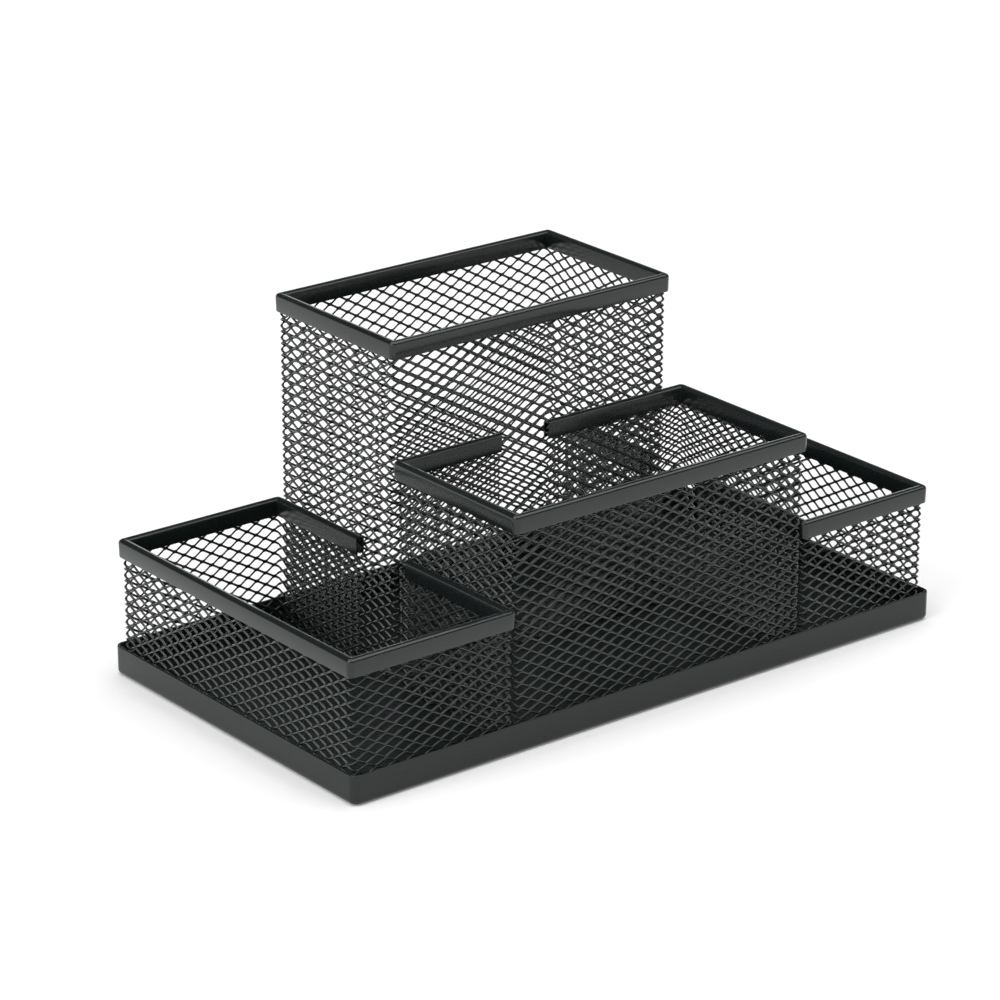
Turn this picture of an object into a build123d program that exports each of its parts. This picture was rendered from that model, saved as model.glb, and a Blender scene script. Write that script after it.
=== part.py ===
"""Mesh pen holder: four open compartments of expanded steel mesh standing in one shallow steel tray.

Millimetres, +Z up, X along the front edge, -Y towards the user.
The origin is the middle of the base tray's underside.
"""
import os
from collections import namedtuple
from math import atan2, ceil, cos, degrees, tan

from build123d import *

# Base tray, a pan of folded sheet
base_length = 206.0
base_depth = 112.0
lip_height = 8.6
base_sheet = 0.8
base_corner = 2.5

# Heights of the compartments above the desk
cup_height = 100.5
box_height = 66.8
tray_height = 40.4

# Plan of the compartments, measured over their rims
left_length = 54.2
cup_length = 98.5
box_length = 103.8
cup_depth = 55.1
side_inset = 0.5
front_inset = 1.9

# Rim, a channel folded over the top edge of the mesh and pinched onto it
rim_width = 2.8
rim_leg = 5.1
rim_sheet = 0.5
rim_corner = 1.8
rim_edge = 0.5
rim_clearance = 0.05

# Expanded mesh, a sheet slit and stretched into diamonds, drawn with cells larger than the real ones
mesh_thickness = 0.9
cell_length = 12.2
cell_height = 7.0
strand_width = 1.2
strand_gap = 0.1
rim_overlap = 1.2

# Breaks between the two ends of a strip, welded to the next compartment
box_break = 16.8
box_break_share = 0.43
tray_break = 22.0
tray_break_offset = 3.9

# Sizes that follow from those above
rim_proud = (rim_width - mesh_thickness) / 2
rim_pinch = rim_proud - rim_sheet - rim_clearance
leg_lean = degrees(atan2(rim_pinch, rim_leg))
outer_x = base_length / 2 - side_inset
outer_y = base_depth / 2 - front_inset
cup_front = outer_y - cup_depth
tray_break_middle = cup_front + tray_break_offset
base_fold = side_inset + rim_proud
wall_end = rim_proud + mesh_thickness + strand_width
slope = atan2(cell_height, cell_length)
slit_width = cell_height * cos(slope) - strand_width
smallest_slit = slit_width * strand_width

# A bay is the outline of a compartment's rim, and a wall is the flat span of one side of its mesh
Bay = namedtuple("Bay", "west east south north top")
Wall = namedtuple("Wall", "plane low high")

cup_west = left_length - outer_x
pen_cup = Bay(cup_west, cup_west + cup_length, cup_front, outer_y, cup_height)
note_box = Bay(cup_west, cup_west + box_length, -outer_y, cup_front + rim_proud, box_height)
left_tray = Bay(-outer_x, cup_west + rim_proud, -outer_y, outer_y, tray_height)
right_tray = Bay(note_box.east - rim_proud, outer_x, -outer_y, outer_y, tray_height)
box_break_middle = note_box.west + box_break_share * box_length


def ring(bay, outside, inside, height):
    """Flat ring around a bay between two insets from its outline, bent round outside and tight inside."""
    length = bay.east - bay.west
    depth = bay.north - bay.south
    with BuildSketch(Plane.XY.offset(height)) as plan:
        with Locations(((bay.west + bay.east) / 2, (bay.south + bay.north) / 2)):
            RectangleRounded(length - 2 * outside, depth - 2 * outside, rim_corner - outside)
            Rectangle(length - 2 * inside, depth - 2 * inside, mode=Mode.SUBTRACT)
    return plan.sketch


def strip_plan(bay):
    """Plan of a bent strip of mesh, standing on the floor of the tray under the middle of its rim."""
    return ring(bay, rim_proud, rim_proud + mesh_thickness, base_sheet)


def strip_height(bay):
    """Height of a strip, from the floor of the tray to the underside of the rim's fold."""
    return bay.top - rim_sheet - base_sheet


def front_wall(bay):
    """Flat span of the front wall, seen from outside."""
    plane = Plane((0, bay.south + rim_proud, 0), x_dir=(1, 0, 0), z_dir=(0, -1, 0))
    return Wall(plane, bay.west + wall_end, bay.east - wall_end)


def back_wall(bay):
    """Flat span of the back wall, seen from outside."""
    plane = Plane((0, bay.north - rim_proud, 0), x_dir=(-1, 0, 0), z_dir=(0, 1, 0))
    return Wall(plane, wall_end - bay.east, -bay.west - wall_end)


def left_wall(bay):
    """Flat span of the left wall, seen from outside."""
    plane = Plane((bay.west + rim_proud, 0, 0), x_dir=(0, -1, 0), z_dir=(-1, 0, 0))
    return Wall(plane, wall_end - bay.north, -bay.south - wall_end)


def right_wall(bay):
    """Flat span of the right wall, seen from outside."""
    plane = Plane((bay.east - rim_proud, 0, 0), x_dir=(0, 1, 0), z_dir=(1, 0, 0))
    return Wall(plane, bay.south + wall_end, bay.north - wall_end)


def flaps(wall, middle, width):
    """The two flaps of a wall that is broken at its middle, each ending in one upright strand."""
    margin = width / 2 + strand_width
    return [wall._replace(high=middle - margin), wall._replace(low=middle + margin)]


def window(wall, top, inward):
    """Open part of a wall, from its foot strand to inside the rim, some way into the sheet."""
    bottom = base_sheet + strand_width
    height = top - rim_leg + rim_overlap - bottom
    middle = wall.plane.from_local_coords(((wall.low + wall.high) / 2, bottom + height / 2, -inward))
    return Plane(middle, wall.plane.x_dir, wall.plane.z_dir), wall.high - wall.low, height


def slits(wall, top, inward, turn):
    """Parallel slits turned from the level by one angle, clipped to the window of a wall."""
    plane, width, height = window(wall, top, inward)
    rows = 2 * ceil((height + width * tan(slope)) / cell_height / 2) + 1
    with BuildSketch(plane) as pattern:
        with GridLocations(cell_length, cell_height, 1, rows):
            Rectangle((width + height) / cos(slope), slit_width, rotation=turn)
        Rectangle(width, height, mode=Mode.INTERSECT)
    return [face for face in pattern.sketch.faces() if face.area > smallest_slit]


def rising_slits(walls, top):
    """Slits in the outer faces of the walls: the rising strands stay between them."""
    return [face for wall in walls for face in slits(wall, top, 0, degrees(slope))]


def falling_slits(walls, top):
    """Slits in the inner faces of the walls: the falling strands stay between them."""
    return [face for wall in walls for face in slits(wall, top, mesh_thickness, -degrees(slope))]


def partings(walls, top):
    """Layers half-way through the walls, where the strands of the two slopes pass each other."""
    layers = []
    for wall in walls:
        plane, width, height = window(wall, top, mesh_thickness / 2)
        with BuildSketch(plane) as layer:
            Rectangle(width, height)
        layers.append(layer.sketch.face())
    return layers


def mesh_strip(bay, walls):
    """Bent strip of mesh, open where the slits of its outer and inner halves cross."""
    with BuildPart() as strip:
        extrude(strip_plan(bay), strip_height(bay))
        extrude(rising_slits(walls, bay.top), -mesh_thickness / 2, mode=Mode.SUBTRACT)
        extrude(falling_slits(walls, bay.top), mesh_thickness / 2, mode=Mode.SUBTRACT)
        extrude(partings(walls, bay.top), strand_gap / 2, both=True, mode=Mode.SUBTRACT)
    return strip.part


def folded_rim(bay):
    """Channel folded over the top edge of a strip, with legs leaning to the mesh and eased upper edges."""
    foot = bay.top - rim_leg
    with BuildPart() as rim:
        extrude(ring(bay, rim_pinch, rim_width - rim_pinch, foot), rim_leg, taper=-leg_lean)
        chamfer(rim.faces().sort_by(Axis.Z)[-1].edges(), rim_edge)
        channel = ring(bay, rim_pinch + rim_sheet, rim_width - rim_pinch - rim_sheet, foot)
        extrude(channel, rim_leg - rim_sheet, taper=-leg_lean, mode=Mode.SUBTRACT)
    return rim.part


os.makedirs("parts", exist_ok=True)

# Base tray: a rounded pan with a flat floor and a lip bent up all round
with BuildPart() as base_tray:
    with BuildSketch():
        RectangleRounded(base_length, base_depth, base_corner)
    extrude(amount=lip_height)
    fillet(base_tray.faces().sort_by(Axis.Z)[0].edges(), radius=base_fold)
    offset(amount=-base_sheet, openings=base_tray.faces().sort_by(Axis.Z)[-1])
base_tray.part.label = "base_tray"
export_step(base_tray.part, "parts/base_tray.step")

# Pen cup: a closed strip under a closed rim
with BuildPart() as pen_cup_mesh:
    walls = [front_wall(pen_cup), right_wall(pen_cup), back_wall(pen_cup), left_wall(pen_cup)]
    add(mesh_strip(pen_cup, walls))
pen_cup_mesh.part.label = "pen_cup_mesh"
export_step(pen_cup_mesh.part, "parts/pen_cup_mesh.step")

with BuildPart() as pen_cup_rim:
    add(folded_rim(pen_cup))
pen_cup_rim.part.label = "pen_cup_rim"
export_step(pen_cup_rim.part, "parts/pen_cup_rim.step")

# Note box: its strip and its rim end in two flaps on the back, welded to the front of the pen cup
with BuildPart() as note_box_mesh:
    back = flaps(back_wall(note_box), -box_break_middle, box_break)
    walls = [front_wall(note_box), right_wall(note_box), left_wall(note_box), *back]
    add(mesh_strip(note_box, walls))
    with Locations((box_break_middle, note_box.north, note_box.top / 2)):
        Box(box_break, 2 * rim_width, 2 * note_box.top, mode=Mode.SUBTRACT)
note_box_mesh.part.label = "note_box_mesh"
export_step(note_box_mesh.part, "parts/note_box_mesh.step")

with BuildPart() as note_box_rim:
    add(folded_rim(note_box))
    with Locations((box_break_middle, note_box.north, note_box.top)):
        Box(box_break, 4 * rim_width, 4 * rim_leg, mode=Mode.SUBTRACT)
note_box_rim.part.label = "note_box_rim"
export_step(note_box_rim.part, "parts/note_box_rim.step")

# Left tray: low and full depth, its inner side broken where the pen cup and the note box meet
with BuildPart() as left_tray_mesh:
    inner = flaps(right_wall(left_tray), tray_break_middle, tray_break)
    walls = [front_wall(left_tray), left_wall(left_tray), back_wall(left_tray), *inner]
    add(mesh_strip(left_tray, walls))
    with Locations((left_tray.east, tray_break_middle, left_tray.top / 2)):
        Box(4 * rim_width, tray_break, 2 * left_tray.top, mode=Mode.SUBTRACT)
left_tray_mesh.part.label = "left_tray_mesh"
export_step(left_tray_mesh.part, "parts/left_tray_mesh.step")

with BuildPart() as left_tray_rim:
    add(folded_rim(left_tray))
    with Locations((left_tray.east, tray_break_middle, left_tray.top)):
        Box(4 * rim_width, tray_break, 4 * rim_leg, mode=Mode.SUBTRACT)
left_tray_rim.part.label = "left_tray_rim"
export_step(left_tray_rim.part, "parts/left_tray_rim.step")

# Right tray: as the left one, but its broken side is welded to the right of the longer note box
with BuildPart() as right_tray_mesh:
    inner = flaps(left_wall(right_tray), -tray_break_middle, tray_break)
    walls = [front_wall(right_tray), right_wall(right_tray), back_wall(right_tray), *inner]
    add(mesh_strip(right_tray, walls))
    with Locations((right_tray.west, tray_break_middle, right_tray.top / 2)):
        Box(4 * rim_width, tray_break, 2 * right_tray.top, mode=Mode.SUBTRACT)
right_tray_mesh.part.label = "right_tray_mesh"
export_step(right_tray_mesh.part, "parts/right_tray_mesh.step")

with BuildPart() as right_tray_rim:
    add(folded_rim(right_tray))
    with Locations((right_tray.west, tray_break_middle, right_tray.top)):
        Box(4 * rim_width, tray_break, 4 * rim_leg, mode=Mode.SUBTRACT)
right_tray_rim.part.label = "right_tray_rim"
export_step(right_tray_rim.part, "parts/right_tray_rim.step")
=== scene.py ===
"""Mesh pen holder: the looks of its expanded mesh strips, folded rims and base pan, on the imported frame.

Metres, +Z up, X along the front edge, -Y towards the user. The origin is the middle of the pan's underside.
"""
from collections import namedtuple
from math import cos, pi, radians, sin

import bpy
import numpy as np
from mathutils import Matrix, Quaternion, Vector


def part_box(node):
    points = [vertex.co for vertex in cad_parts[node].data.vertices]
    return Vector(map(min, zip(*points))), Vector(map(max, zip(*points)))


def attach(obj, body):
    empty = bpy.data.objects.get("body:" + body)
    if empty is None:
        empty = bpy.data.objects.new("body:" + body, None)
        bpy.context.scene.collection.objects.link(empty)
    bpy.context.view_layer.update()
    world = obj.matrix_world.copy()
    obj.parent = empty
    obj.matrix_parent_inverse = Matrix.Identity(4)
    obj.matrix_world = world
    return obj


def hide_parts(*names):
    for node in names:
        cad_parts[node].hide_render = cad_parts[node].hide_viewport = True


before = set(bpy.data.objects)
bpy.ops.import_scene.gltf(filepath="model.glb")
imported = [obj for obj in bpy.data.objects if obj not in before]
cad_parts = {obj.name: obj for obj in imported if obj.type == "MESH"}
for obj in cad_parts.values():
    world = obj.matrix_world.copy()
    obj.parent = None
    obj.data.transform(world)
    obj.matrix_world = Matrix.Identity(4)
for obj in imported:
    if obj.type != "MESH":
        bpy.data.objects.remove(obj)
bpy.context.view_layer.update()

bl_info = {
    "name": "Mesh Pen Holder",
    "version": (1, 0, 0),
    "blender": (4, 5, 0),
    "location": "View3D > Sidebar > Pen Holder",
    "description": "Builds the mesh strips, folded rims and base pan of a steel mesh pen holder",
    "category": "Add Mesh",
}

MM = 0.001
BODY = "root"
COMPARTMENTS = ("pen_cup", "note_box", "left_tray", "right_tray")


# ---------------------------------------------------------------- sizes and colours


def length(name, description, millimetres):
    """A size in the sidebar, kept in metres and given here in millimetres."""
    return bpy.props.FloatProperty(
        name=name, description=description, default=millimetres * MM, precision=5, unit="LENGTH"
    )


def angle(name, description, degrees):
    """An angle in the sidebar, given here in degrees."""
    return bpy.props.FloatProperty(
        name=name, description=description, default=radians(degrees), subtype="ANGLE"
    )


def linear(code):
    """Linear RGB of an sRGB hex colour."""
    srgb = np.array([int(code[i : i + 2], 16) for i in (1, 3, 5)]) / 255
    return tuple(np.where(srgb <= 0.04045, srgb / 12.92, ((srgb + 0.055) / 1.055) ** 2.4))


def colour(name, description, code):
    """A colour in the sidebar, given here as sRGB hex."""
    return bpy.props.FloatVectorProperty(
        name=name, description=description, default=linear(code), size=3, min=0, max=1, subtype="COLOR"
    )


class MeshSheet(bpy.types.PropertyGroup):
    """Sizes of the expanded mesh."""

    cell_length: length("Cell length", "Level pitch of the diamonds", 6.1)
    cell_height: length("Cell height", "Upright pitch of the diamonds", 3.5)
    strand_width: length("Strand width", "Width of a strand across its face", 0.59)
    strand_thickness: length("Strand thickness", "Painted thickness of the sheet", 0.55)
    strand_tilt: angle("Strand tilt", "How far a strand's face leans back from the wall", 46)
    inset: length("Inset", "Depth of the sheet's middle inside its strip", 0.51)
    bend: length("Bend", "Radius of the sheet's middle at the corners", 0.7)


class RimFold(bpy.types.PropertyGroup):
    """Sizes of the folded rims."""

    width: length("Width", "Width over the two folds", 2.7)
    leg: length("Leg", "Height over a leg and the crown", 5.1)
    sheet: length("Sheet", "Thickness of the folded sheet, and outer radius of the inner fold", 0.5)
    fold: length("Outer fold", "Outer radius of the outer fold", 1.0)
    level: length("Level part", "Inset at which the top starts to slope", 1.45)
    bend: length("Top bend", "Outer radius of the bend from the level part to the slope", 1.5)
    slope: angle("Slope", "Slope of the top's inner part", 13)
    lean: angle("Lean", "Lean of the legs, which are pinched onto the mesh", 1.5)
    corner: length("Corner radius", "Outer radius of the corners in plan", 1.8)


class BasePan(bpy.types.PropertyGroup):
    """Sizes of the base pan."""

    sheet: length("Sheet", "Thickness of the pan's sheet", 0.8)
    fold: length("Fold radius", "Outer radius of the fold under the lip", 1.45)
    edge: length("Edge radius", "Radius of the lip's upper edge", 0.35)
    corner: length("Corner radius", "Outer radius of the corners in plan", 2.5)


class Breaks(bpy.types.PropertyGroup):
    """Places where a strip and its rim end in two flaps."""

    box_middle: length("Note box middle", "Place of the note box's break along X", -3.67)
    box_width: length("Note box width", "Width of the note box's break", 16.8)
    tray_middle: length("Tray middle", "Place of the trays' breaks along Y", 2.9)
    tray_width: length("Tray width", "Width of the trays' breaks", 22.0)


class PaintColours(bpy.types.PropertyGroup):
    """Colours of the black paint."""

    deep: colour("Deep", "Paint where it lies thick", "#151b1a")
    thin: colour("Thin", "Paint where it lies thin", "#1d2423")


class Studio(bpy.types.PropertyGroup):
    """Camera, floor and light."""

    aim: bpy.props.FloatVectorProperty(
        name="Aim",
        description="Point that the camera looks at",
        default=(-0.0002, 0.01305, 0.04),
        subtype="XYZ",
        unit="LENGTH",
    )
    distance: length("Distance", "From the camera to the aim", 1155.4)
    azimuth: angle("Azimuth", "Camera's turn to the left of the front", 38.476)
    elevation: angle("Elevation", "Camera's height above the level", 21.099)
    roll: angle("Roll", "Camera's turn about its own axis", 0.154)
    lens: bpy.props.FloatProperty(
        name="Lens", description="Focal length on a 36 mm frame, in millimetres", default=147.466
    )
    floor_colour: colour("Floor", "Pale floor", "#e8e8e8")


class PenHolder(bpy.types.PropertyGroup):
    """All the sizes and colours of the pen holder."""

    mesh: bpy.props.PointerProperty(type=MeshSheet)
    rim: bpy.props.PointerProperty(type=RimFold)
    pan: bpy.props.PointerProperty(type=BasePan)
    breaks: bpy.props.PointerProperty(type=Breaks)
    paint: bpy.props.PointerProperty(type=PaintColours)
    studio: bpy.props.PointerProperty(type=Studio)


# ---------------------------------------------------------------- paths and profiles

# Facets in the quarter turn of a corner in plan, for the pan and the rims, and for the thin strands
PLATE_FACETS = 8
STRAND_FACETS = 3

# Radius in plan of a corner that is bent as tight as it goes
TIGHT = 0.1 * MM


def loop_path(node, steps, gap=None):
    """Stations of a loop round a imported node, counter-clockwise from above, as (anchors, inward, angles).

    At a corner the anchor is the sharp corner of the node's box, inward points to the middle along both
    axes, and the angle turns by a quarter in equal steps. A gap is (side angle, from, to) along the side:
    the open loop then starts at one end of the gap and runs round to the other, and at these two ends
    inward points straight across the side.
    """
    low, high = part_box(node)
    corners = np.array([(high.x, low.y), (high.x, high.y), (low.x, high.y), (low.x, low.y)])
    to_middle = np.array([(-1.0, 1.0), (-1.0, -1.0), (1.0, -1.0), (1.0, 1.0)])
    first = 0 if gap is None else round(gap[0] / (pi / 2)) + 1
    order = (np.arange(4) + first) % 4
    anchors = np.repeat(corners[order], steps + 1, axis=0)
    inward = np.repeat(to_middle[order], steps + 1, axis=0)
    starts = (np.arange(4) + first - 1) * pi / 2
    angles = (starts[:, None] + np.linspace(0, pi / 2, steps + 1)).ravel()
    if gap is None:
        return anchors, inward, angles
    side, *ends = gap
    across = np.array([cos(side), sin(side)]).round()
    along = np.array([-across[1], across[0]])
    reach = np.sort(np.array(ends) * along.sum())[::-1]
    heads = anchors[0] * np.abs(across) + reach[:, None] * along
    anchors = np.vstack([heads[0], anchors, heads[1]])
    inward = np.vstack([-across, inward, -across])
    return anchors, inward, np.concatenate([[side], angles, [side + 2 * pi]])


def sweep(path, corner, profile, top):
    """Points of a profile of (inset, height) carried along a loop.

    Each inset has a corner of its own: its radius is the corner radius less the inset, or a tight bend
    where the inset is deeper than that. A point lies that radius along the angle from a centre, which lies
    inward of the anchor by the inset and the radius.
    """
    anchors, inward, angles = path
    inset = profile[:, 0]
    radius = np.maximum(corner - inset, TIGHT)
    facing = np.column_stack([np.cos(angles), np.sin(angles)])
    centres = anchors[:, None] + (inset + radius)[:, None] * inward[:, None]
    flat = centres + radius[:, None] * facing[:, None]
    height = np.broadcast_to(top + profile[:, 1], flat.shape[:2])
    return np.concatenate([flat, height[:, :, None]], axis=2)


def arc(centre, radius, begin, end, steps):
    """Points of a circle's arc in a profile, between two angles."""
    turn = np.linspace(begin, end, steps + 1)
    return np.column_stack([centre[0] + radius * np.cos(turn), centre[1] + radius * np.sin(turn)])


def rim_profile(rim):
    """Section of the rim as (inset, height below the top): a pinched channel of folded sheet.

    A round outer fold leads to a level top, which bends down to a slope over its inner part and ends in a
    tighter fold. The legs lean towards each other and end in half rounds, and the channel runs one sheet
    inside all this.
    """
    sheet, bend, slope, lean = rim.sheet, rim.bend, rim.slope, rim.lean

    def leg(centre, radius, begin):
        """A leg seen with its outer side to the left: the half round at its foot, and the fold above it."""
        knee = centre - (radius - sheet / 2) * np.array([cos(lean), sin(lean)])
        drop = knee[1] + rim.leg - sheet / 2
        foot = knee + drop * np.array([sin(lean) / cos(lean), -1.0])
        return np.vstack([
            arc(foot, sheet / 2, 2 * pi + lean, pi + lean, steps=4),
            arc(centre, radius, pi + lean, begin, steps=6),
        ])

    top = arc((rim.level, -bend), bend, pi / 2, pi / 2 - slope, steps=4)
    run = rim.width - sheet * (1 - sin(slope)) - top[-1, 0]
    outer_fold = np.array([rim.fold, -rim.fold])
    inner_fold = np.array([sheet, top[-1, 1] - run * sin(slope) / cos(slope) - sheet * cos(slope)])
    inner_leg = leg(inner_fold, sheet, pi / 2 + slope)[::-1] * (-1, 1) + (rim.width, 0)
    channel = arc(outer_fold, rim.fold - sheet, pi / 2, pi + lean, steps=2)
    roof = [(rim.width - sheet, inner_fold[1])]
    return np.vstack([leg(outer_fold, rim.fold, pi / 2), top, inner_leg, roof, channel])


def pan_profile(pan, lip):
    """Section of the pan's edge as (inset, height), from the underside over the lip to the floor.

    A quarter round leads from the underside to the lip, two small rounds go over the lip's edge, and a
    smaller quarter round leads down to the floor.
    """
    inner = pan.fold - pan.sheet
    return np.vstack([
        arc((pan.fold, pan.fold), pan.fold, 1.5 * pi, pi, steps=8),
        arc((pan.edge, lip - pan.edge), pan.edge, pi, pi / 2, steps=4),
        arc((pan.sheet - pan.edge, lip - pan.edge), pan.edge, pi / 2, 0, steps=4),
        arc((pan.fold, pan.fold), inner, pi, 1.5 * pi, steps=6),
    ])


def gap_of(compartment, breaks):
    """The break in a compartment's strip as (side angle, from, to), or None for the closed pen cup."""
    box = (breaks.box_middle - breaks.box_width / 2, breaks.box_middle + breaks.box_width / 2)
    tray = (breaks.tray_middle - breaks.tray_width / 2, breaks.tray_middle + breaks.tray_width / 2)
    gaps = {"note_box": (pi / 2, *box), "left_tray": (0.0, *tray), "right_tray": (pi, *tray)}
    return gaps.get(compartment)


# ---------------------------------------------------------------- meshes

# Edges of the pan and the rims that turn by more than this stay sharp
SHARP_FOLD = radians(40)

# Zigzag of a strand over half a cell: level at the bonds, rounded off, and straight between them
BOND_KNOTS = np.array([0.1, 0.16, 0.84, 0.9])
BOND_HEIGHTS = np.array([1.0, 0.93, -0.93, -1.0])

# Decimals, in metres, to which places along a strip are told apart
PLACE_DECIMALS = 7


def grid_quads(rows, columns, row_loop, column_loop):
    """Corner indices of the quads on a grid of points, joined end to end where a direction is a loop."""
    i = np.arange(rows if row_loop else rows - 1)[:, None]
    j = np.arange(columns if column_loop else columns - 1)[None, :]
    up, right = (i + 1) % rows, (j + 1) % columns
    corners = [i * columns + j, up * columns + j, up * columns + right, i * columns + right]
    return np.stack(np.broadcast_arrays(*corners), axis=-1).reshape(-1, 4)


def make_piece(name, points, faces, node, material):
    """Makes a smooth piece that stands for a node, from points and arrays of faces with one size each."""
    corners = np.concatenate([face.ravel() for face in faces])
    sizes = np.concatenate([np.full(len(face), face.shape[1]) for face in faces])
    mesh = bpy.data.meshes.new(name)
    mesh.vertices.add(points.size // 3)
    mesh.vertices.foreach_set("co", points.astype(np.float32).ravel())
    mesh.loops.add(len(corners))
    mesh.loops.foreach_set("vertex_index", corners.astype(np.int32))
    mesh.polygons.add(len(sizes))
    mesh.polygons.foreach_set("loop_start", (np.cumsum(sizes) - sizes).astype(np.int32))
    mesh.update(calc_edges=True)
    mesh.shade_smooth()
    mesh.materials.append(material)
    piece = bpy.data.objects.new(name, mesh)
    bpy.context.scene.collection.objects.link(piece)
    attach(piece, BODY)
    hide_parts(node)
    return piece


def corner_counts(stations, angles, half, closed):
    """Places of a strip's corners, with its two ends, and the count of half cells at each.

    Each wall between two corners takes the nearest whole number of half cells, and every corner lies
    half-way between two bonds. The ends of a closed strip are the corners before and after one round.
    """
    total = stations[-1]
    corners = np.interp(angles[0] + (np.arange(4) + 0.5) * pi / 2, angles, stations)
    ends = (corners[-1] - total, corners[0] + total) if closed else (0.0, total)
    places = np.concatenate([ends[:1], corners, ends[1:]])
    spans = np.diff(places) / half
    whole = np.round(spans)
    if not closed:
        whole[[0, -1]] = spans[[0, -1]]
    return places, np.concatenate([[0.0], np.cumsum(whole)]) - whole[0] + 0.5


def mesh_strip(path, low, high, sheet, closed):
    """Points of a strip of expanded mesh, as rows of zigzag strands with four edges each.

    The distance along the strip's middle line places a station, and its height there is a zigzag between
    bonds. Row j lies j half cells up, with every second row upside down, so that each strand meets the one
    above at one bond and the one below at the next. A strand's face leans back by the tilt, and its zigzag
    swings half as far, so that the edges of two strands meet at a bond within the sheet's thickness.
    """
    anchors, inward, angles = path
    if closed:
        anchors, inward = np.vstack([anchors, anchors[:1]]), np.vstack([inward, inward[:1]])
        angles = np.append(angles, angles[0] + 2 * pi)
    centres = anchors + (sheet.inset + sheet.bend) * inward
    steps = np.hypot(*np.diff(centres, axis=0).T) + sheet.bend * np.diff(angles)
    stations = np.concatenate([[0.0], np.cumsum(steps)])
    places, counts = corner_counts(stations, angles, sheet.cell_length / 2, closed)
    cells = (np.arange(np.floor(counts[0]), np.ceil(counts[-1]))[:, None] + BOND_KNOTS).ravel()
    along = np.interp(cells, counts, places)
    along = along[(along > 0) & (along < stations[-1])]
    along = np.unique(np.concatenate([along, stations[:-1] if closed else stations]).round(PLACE_DECIMALS))
    phase = np.abs((np.interp(along, places, counts) / 2) % 1.0 - 0.5) * 2
    zigzag = np.interp(phase, BOND_KNOTS, BOND_HEIGHTS)
    row = sheet.cell_height / 2
    lean = np.array([cos(sheet.strand_tilt), -sin(sheet.strand_tilt)])
    face = np.array([sin(sheet.strand_tilt), cos(sheet.strand_tilt)])
    edges = np.array([(-1, 1), (1, 1), (1, -1), (-1, -1)]) / 2
    section = edges[:, :1] * sheet.strand_width * lean + edges[:, 1:] * sheet.strand_thickness * face
    rise = (row - sheet.strand_width * lean[0]) / 2
    reach = sheet.strand_width * lean[1] / 4
    first = low + rise - section[:, 0].min()
    rows = int((high - rise - section[:, 0].max() - first) / row) + 1
    wave = zigzag * np.where(np.arange(rows) % 2, -1, 1)[:, None]
    height = (first + row * np.arange(rows)[:, None] + rise * wave)[:, :, None] + section[:, 0]
    outward = sheet.bend - (reach * wave)[:, :, None] + section[:, 1]
    turn = np.interp(along, stations, angles)[None, :, None]
    x = np.interp(along, stations, centres[:, 0])[None, :, None] + outward * np.cos(turn)
    y = np.interp(along, stations, centres[:, 1])[None, :, None] + outward * np.sin(turn)
    return np.stack([x, y, height], axis=-1)


# ---------------------------------------------------------------- finishes

# How the coat came out: its roughness, its index of refraction, and the width and depth of its peel
Coat = namedtuple("Coat", "roughness refraction peel_width peel_depth")
PAN_COAT = Coat(0.21, 1.42, 1.1 * MM, 0.004 * MM)
RIM_COAT = Coat(0.19, 1.5, 1.1 * MM, 0.004 * MM)
MESH_COAT = Coat(0.16, 1.6, 0.6 * MM, 0.002 * MM)

# Slow changes of the paint: their width, the part of the noise's range that they take up, and how far the
# roughness swings with them
CLOUD_WIDTH = 25 * MM
CLOUD_LOW, CLOUD_HIGH = 0.3, 0.7
ROUGHNESS_SWING = 0.03

# Light that the white paper gives of its own
PAPER_GLOW = 0.15


def add_node(tree, kind, settings=None, links=None):
    """Adds a node, sets its properties and sockets, and links sockets to (node, output) pairs."""
    node = tree.nodes.new(kind)
    for key, value in (settings or {}).items():
        if hasattr(node, str(key)):
            setattr(node, key, value)
        else:
            node.inputs[key].default_value = value
    for key, (source, output) in (links or {}).items():
        tree.links.new(source.outputs[output], node.inputs[key])
    return node


def new_tree(material):
    """An empty node tree for a material's finish."""
    material.use_nodes = True
    material.node_tree.nodes.clear()
    return material.node_tree


def powder_coat(paint, name, finish):
    """Black satin powder coat, sprayed dry on steel and baked.

    It gives the eye a deep black with a soft sheen, pale only where it mirrors something white, a faint
    orange peel about a millimetre across, and slow changes of tone and gloss where the powder lay thicker.
    """
    material = bpy.data.materials.new(name)
    tree = new_tree(material)
    place = add_node(tree, "ShaderNodeTexCoord")
    at = {"Vector": (place, "Object")}
    cloud = add_node(tree, "ShaderNodeTexNoise", {"Scale": 1 / CLOUD_WIDTH, "Detail": 3.0}, at)
    peel = add_node(tree, "ShaderNodeTexNoise", {"Scale": 1 / finish.peel_width, "Detail": 2.0}, at)
    # Inputs 6 and 7 and output 2 of this node are its colours
    tint = add_node(
        tree,
        "ShaderNodeMix",
        {"data_type": "RGBA", 6: (*paint.deep, 1.0), 7: (*paint.thin, 1.0)},
        {0: (cloud, "Fac")},
    )
    rough = add_node(
        tree,
        "ShaderNodeMapRange",
        {
            "From Min": CLOUD_LOW,
            "From Max": CLOUD_HIGH,
            "To Min": finish.roughness - ROUGHNESS_SWING,
            "To Max": finish.roughness + ROUGHNESS_SWING,
        },
        {"Value": (cloud, "Fac")},
    )
    bump = add_node(tree, "ShaderNodeBump", {"Distance": finish.peel_depth}, {"Height": (peel, "Fac")})
    coat = add_node(
        tree,
        "ShaderNodeBsdfPrincipled",
        {"IOR": finish.refraction},
        {"Base Color": (tint, 2), "Roughness": (rough, "Result"), "Normal": (bump, "Normal")},
    )
    add_node(tree, "ShaderNodeOutputMaterial", links={"Surface": (coat, "BSDF")})
    return material


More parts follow.
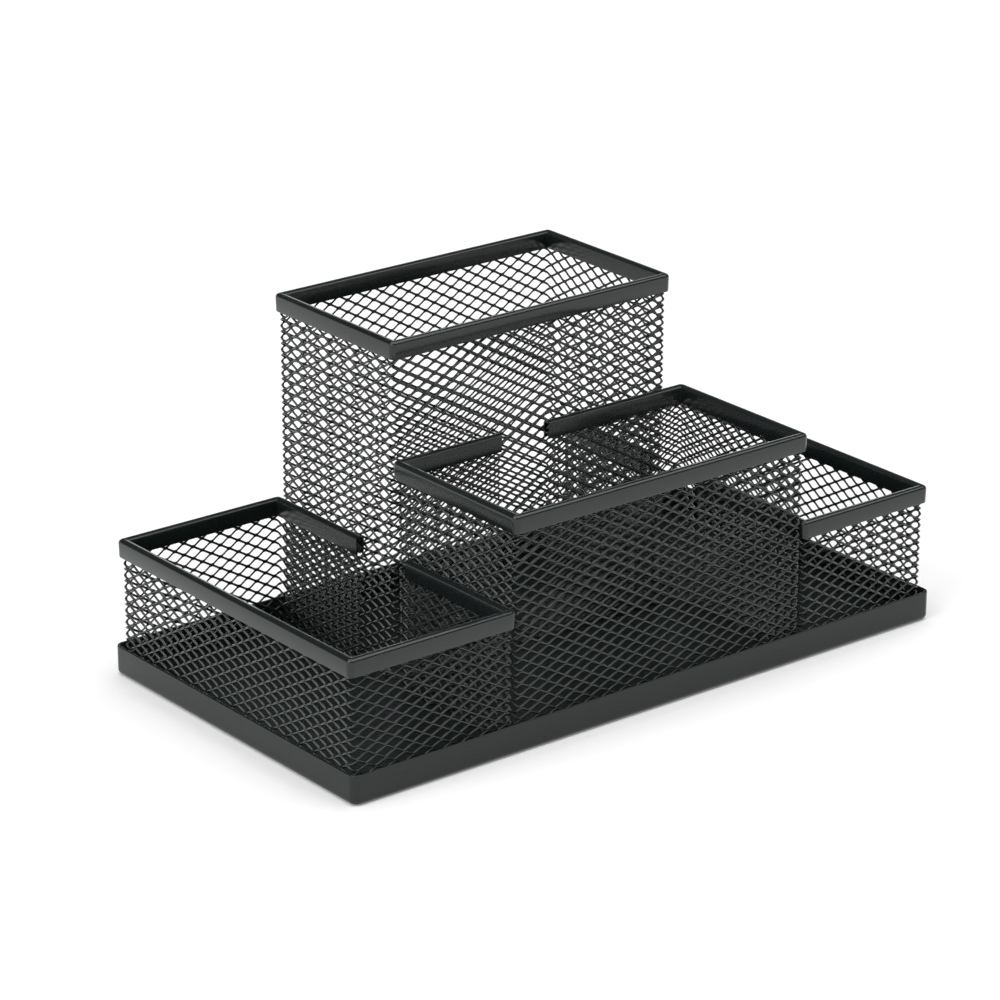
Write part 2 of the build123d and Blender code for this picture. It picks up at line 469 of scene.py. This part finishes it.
def white_paper(studio):
    """Matt white paper, with a little of its own light for the camera and for mirrors.

    It gives the eye a plain white ground that keeps a soft shadow.
    """
    material = bpy.data.materials.new("white_paper_sweep")
    tree = new_tree(material)
    ray = add_node(tree, "ShaderNodeLightPath")
    seen = add_node(
        tree,
        "ShaderNodeMath",
        {"operation": "ADD"},
        {0: (ray, "Is Camera Ray"), 1: (ray, "Is Glossy Ray")},
    )
    seen = add_node(
        tree, "ShaderNodeMath", {"operation": "MAXIMUM"}, {0: (seen, 0), 1: (ray, "Is Transmission Ray")}
    )
    glow = add_node(tree, "ShaderNodeMath", {"operation": "MULTIPLY", 1: PAPER_GLOW}, {0: (seen, 0)})
    paper = add_node(tree, "ShaderNodeBsdfDiffuse", {"Color": (*studio.floor_colour, 1.0)})
    light = add_node(tree, "ShaderNodeEmission", links={"Strength": (glow, 0)})
    both = add_node(tree, "ShaderNodeAddShader", links={0: (paper, 0), 1: (light, 0)})
    add_node(tree, "ShaderNodeOutputMaterial", links={"Surface": (both, 0)})
    return material


# ---------------------------------------------------------------- stage

# The floor, in metres from its middle to its sides, and its drop below the pan
FLOOR_REACH = 15.0
FLOOR_DROP = 0.2 * MM

# Name, strength, width in degrees and direction of each soft light: a broad one overhead, and a card on
# the left
SOFT_LIGHTS = (
    ("overhead_scrim", 2.7, 76, (0.16, -0.06, 0.985)),
    ("left_card", 1.4, 38, (-0.74, -0.03, 0.67)),
)

# The room, pale up to one height above the level and dim from another, both as sines of an angle
PALE_UP_TO, DIM_FROM = 0.15, 0.28
PALE_LEVEL, DIM_LEVEL = 1.4, 0.03

# Width of the camera's frame in millimetres
FRAME_WIDTH = 36


def lay_floor(scene, studio):
    """A wide flat floor, a hair under the pan."""
    mesh = bpy.data.meshes.new("floor")
    low, high = -FLOOR_REACH, FLOOR_REACH
    corners = [(low, low, 0), (high, low, 0), (high, high, 0), (low, high, 0)]
    mesh.from_pydata(corners, [], [(0, 1, 2, 3)])
    mesh.materials.append(white_paper(studio))
    floor = bpy.data.objects.new("floor", mesh)
    floor.location.z = -FLOOR_DROP
    scene.collection.objects.link(floor)


def hang_lights(scene):
    """The soft lights, in a dim room that is pale near the floor."""
    for name, strength, spread, towards in SOFT_LIGHTS:
        lamp = bpy.data.lights.new(name, "SUN")
        lamp.energy = strength
        lamp.angle = radians(spread)
        light = bpy.data.objects.new(name, lamp)
        light.rotation_mode = "QUATERNION"
        light.rotation_quaternion = Vector(towards).to_track_quat("Z", "Y")
        scene.collection.objects.link(light)
    world = bpy.data.worlds.new("dim_room")
    world.use_nodes = True
    tree = world.node_tree
    tree.nodes.clear()
    place = add_node(tree, "ShaderNodeTexCoord")
    up = add_node(tree, "ShaderNodeSeparateXYZ", links={0: (place, "Generated")})
    level = add_node(
        tree,
        "ShaderNodeMapRange",
        {
            "interpolation_type": "SMOOTHSTEP",
            "From Min": PALE_UP_TO,
            "From Max": DIM_FROM,
            "To Min": PALE_LEVEL,
            "To Max": DIM_LEVEL,
        },
        {"Value": (up, "Z")},
    )
    room = add_node(tree, "ShaderNodeBackground", {"Color": (1, 1, 1, 1)}, {"Strength": (level, "Result")})
    add_node(tree, "ShaderNodeOutputWorld", links={"Surface": (room, 0)})
    scene.world = world


def stand_camera(scene, studio):
    """The camera looks at the aim from a distance, turned by azimuth and elevation and rolled a little."""
    level = cos(studio.elevation)
    back = Vector((-sin(studio.azimuth) * level, -cos(studio.azimuth) * level, sin(studio.elevation)))
    lens = bpy.data.cameras.new("camera")
    lens.lens = studio.lens
    lens.sensor_width = FRAME_WIDTH
    lens.sensor_fit = "HORIZONTAL"
    camera = bpy.data.objects.new("camera", lens)
    camera.location = Vector(studio.aim) + studio.distance * back
    camera.rotation_mode = "QUATERNION"
    camera.rotation_quaternion = back.to_track_quat("Z", "Y") @ Quaternion((0, 0, 1), studio.roll)
    scene.collection.objects.link(camera)
    scene.camera = camera


# ---------------------------------------------------------------- operators


class PENHOLDER_OT_pan(bpy.types.Operator):
    """Builds the base pan: its edge profile carried round the outline, with a floor and an underside."""

    bl_idname = "penholder.pan"
    bl_label = "Base Pan"

    def execute(self, context):
        holder = context.scene.pen_holder
        pan = holder.pan
        profile = pan_profile(pan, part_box("base_tray")[1].z)
        points = sweep(loop_path("base_tray", PLATE_FACETS), pan.corner, profile, 0.0)
        stations, edges = points.shape[:2]
        around = np.arange(stations)[None, :] * edges
        faces = [grid_quads(stations, edges, True, False), around[:, ::-1], around + edges - 1]
        paint = powder_coat(holder.paint, "powder_coat_on_pan", PAN_COAT)
        piece = make_piece("base_pan", points, faces, "base_tray", paint)
        piece.data.set_sharp_from_angle(angle=SHARP_FOLD)
        return {"FINISHED"}


class PENHOLDER_OT_rims(bpy.types.Operator):
    """Builds the folded rims: the channel's section carried along each strip, capped at the breaks."""

    bl_idname = "penholder.rims"
    bl_label = "Folded Rims"

    def execute(self, context):
        holder = context.scene.pen_holder
        rim = holder.rim
        profile = rim_profile(rim)
        paint = powder_coat(holder.paint, "powder_coat_on_rims", RIM_COAT)
        for compartment in COMPARTMENTS:
            node = compartment + "_rim"
            gap = gap_of(compartment, holder.breaks)
            path = loop_path(node, PLATE_FACETS, gap)
            points = sweep(path, rim.corner, profile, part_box(node)[1].z)
            stations, edges = points.shape[:2]
            faces = [grid_quads(stations, edges, gap is None, True)]
            if gap is not None:
                cap = np.arange(edges)[None, :]
                faces += [cap, cap[:, ::-1] + (stations - 1) * edges]
            piece = make_piece(compartment + "_folded_rim", points, faces, node, paint)
            piece.data.set_sharp_from_angle(angle=SHARP_FOLD)
        return {"FINISHED"}


class PENHOLDER_OT_strips(bpy.types.Operator):
    """Builds the strips of expanded mesh: rows of zigzag strands bent round each compartment."""

    bl_idname = "penholder.strips"
    bl_label = "Mesh Strips"

    def execute(self, context):
        holder = context.scene.pen_holder
        paint = powder_coat(holder.paint, "powder_coat_on_mesh", MESH_COAT)
        for compartment in COMPARTMENTS:
            node = compartment + "_mesh"
            gap = gap_of(compartment, holder.breaks)
            closed = gap is None
            low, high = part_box(node)
            path = loop_path(node, STRAND_FACETS, gap)
            points = mesh_strip(path, low.z, high.z, holder.mesh, closed)
            rows, stations, edges = points.shape[:3]
            strand = grid_quads(stations, edges, closed, True)
            starts = np.arange(rows) * stations * edges
            faces = [np.concatenate(strand + starts[:, None, None])]
            if not closed:
                cap = starts[:, None] + np.arange(edges)
                faces += [cap, cap[:, ::-1] + (stations - 1) * edges]
            make_piece(compartment + "_expanded_mesh", points, faces, node, paint)
        return {"FINISHED"}


class PENHOLDER_OT_stage(bpy.types.Operator):
    """Sets the floor, the light and the camera."""

    bl_idname = "penholder.stage"
    bl_label = "Stage"

    def execute(self, context):
        studio = context.scene.pen_holder.studio
        context.scene.view_settings.view_transform = "Standard"
        lay_floor(context.scene, studio)
        hang_lights(context.scene)
        stand_camera(context.scene, studio)
        return {"FINISHED"}


# ---------------------------------------------------------------- sidebar


class PENHOLDER_PT_sidebar(bpy.types.Panel):
    """Lists the pieces of the pen holder, and their sizes and colours."""

    bl_idname = "PENHOLDER_PT_sidebar"
    bl_label = "Mesh Pen Holder"
    bl_space_type = "VIEW_3D"
    bl_region_type = "UI"
    bl_category = "Pen Holder"

    def draw(self, context):
        holder = context.scene.pen_holder
        for operator in OPERATORS:
            self.layout.operator(operator.bl_idname)
        for group in (holder.mesh, holder.rim, holder.pan, holder.breaks, holder.paint, holder.studio):
            box = self.layout.box()
            for key in group.__annotations__:
                box.prop(group, key)


GROUPS = (MeshSheet, RimFold, BasePan, Breaks, PaintColours, Studio, PenHolder)
OPERATORS = (PENHOLDER_OT_pan, PENHOLDER_OT_rims, PENHOLDER_OT_strips, PENHOLDER_OT_stage)


def register():
    """Registers the sizes, the operators and the sidebar."""
    for entry in (*GROUPS, *OPERATORS, PENHOLDER_PT_sidebar):
        bpy.utils.register_class(entry)
    bpy.types.Scene.pen_holder = bpy.props.PointerProperty(type=PenHolder)


def unregister():
    """Removes them again."""
    del bpy.types.Scene.pen_holder
    for entry in reversed((*GROUPS, *OPERATORS, PENHOLDER_PT_sidebar)):
        bpy.utils.unregister_class(entry)


def main():
    """Builds every piece and the stage."""
    register()
    bpy.ops.penholder.pan()
    bpy.ops.penholder.rims()
    bpy.ops.penholder.strips()
    bpy.ops.penholder.stage()


if __name__ == "__main__":
    main()
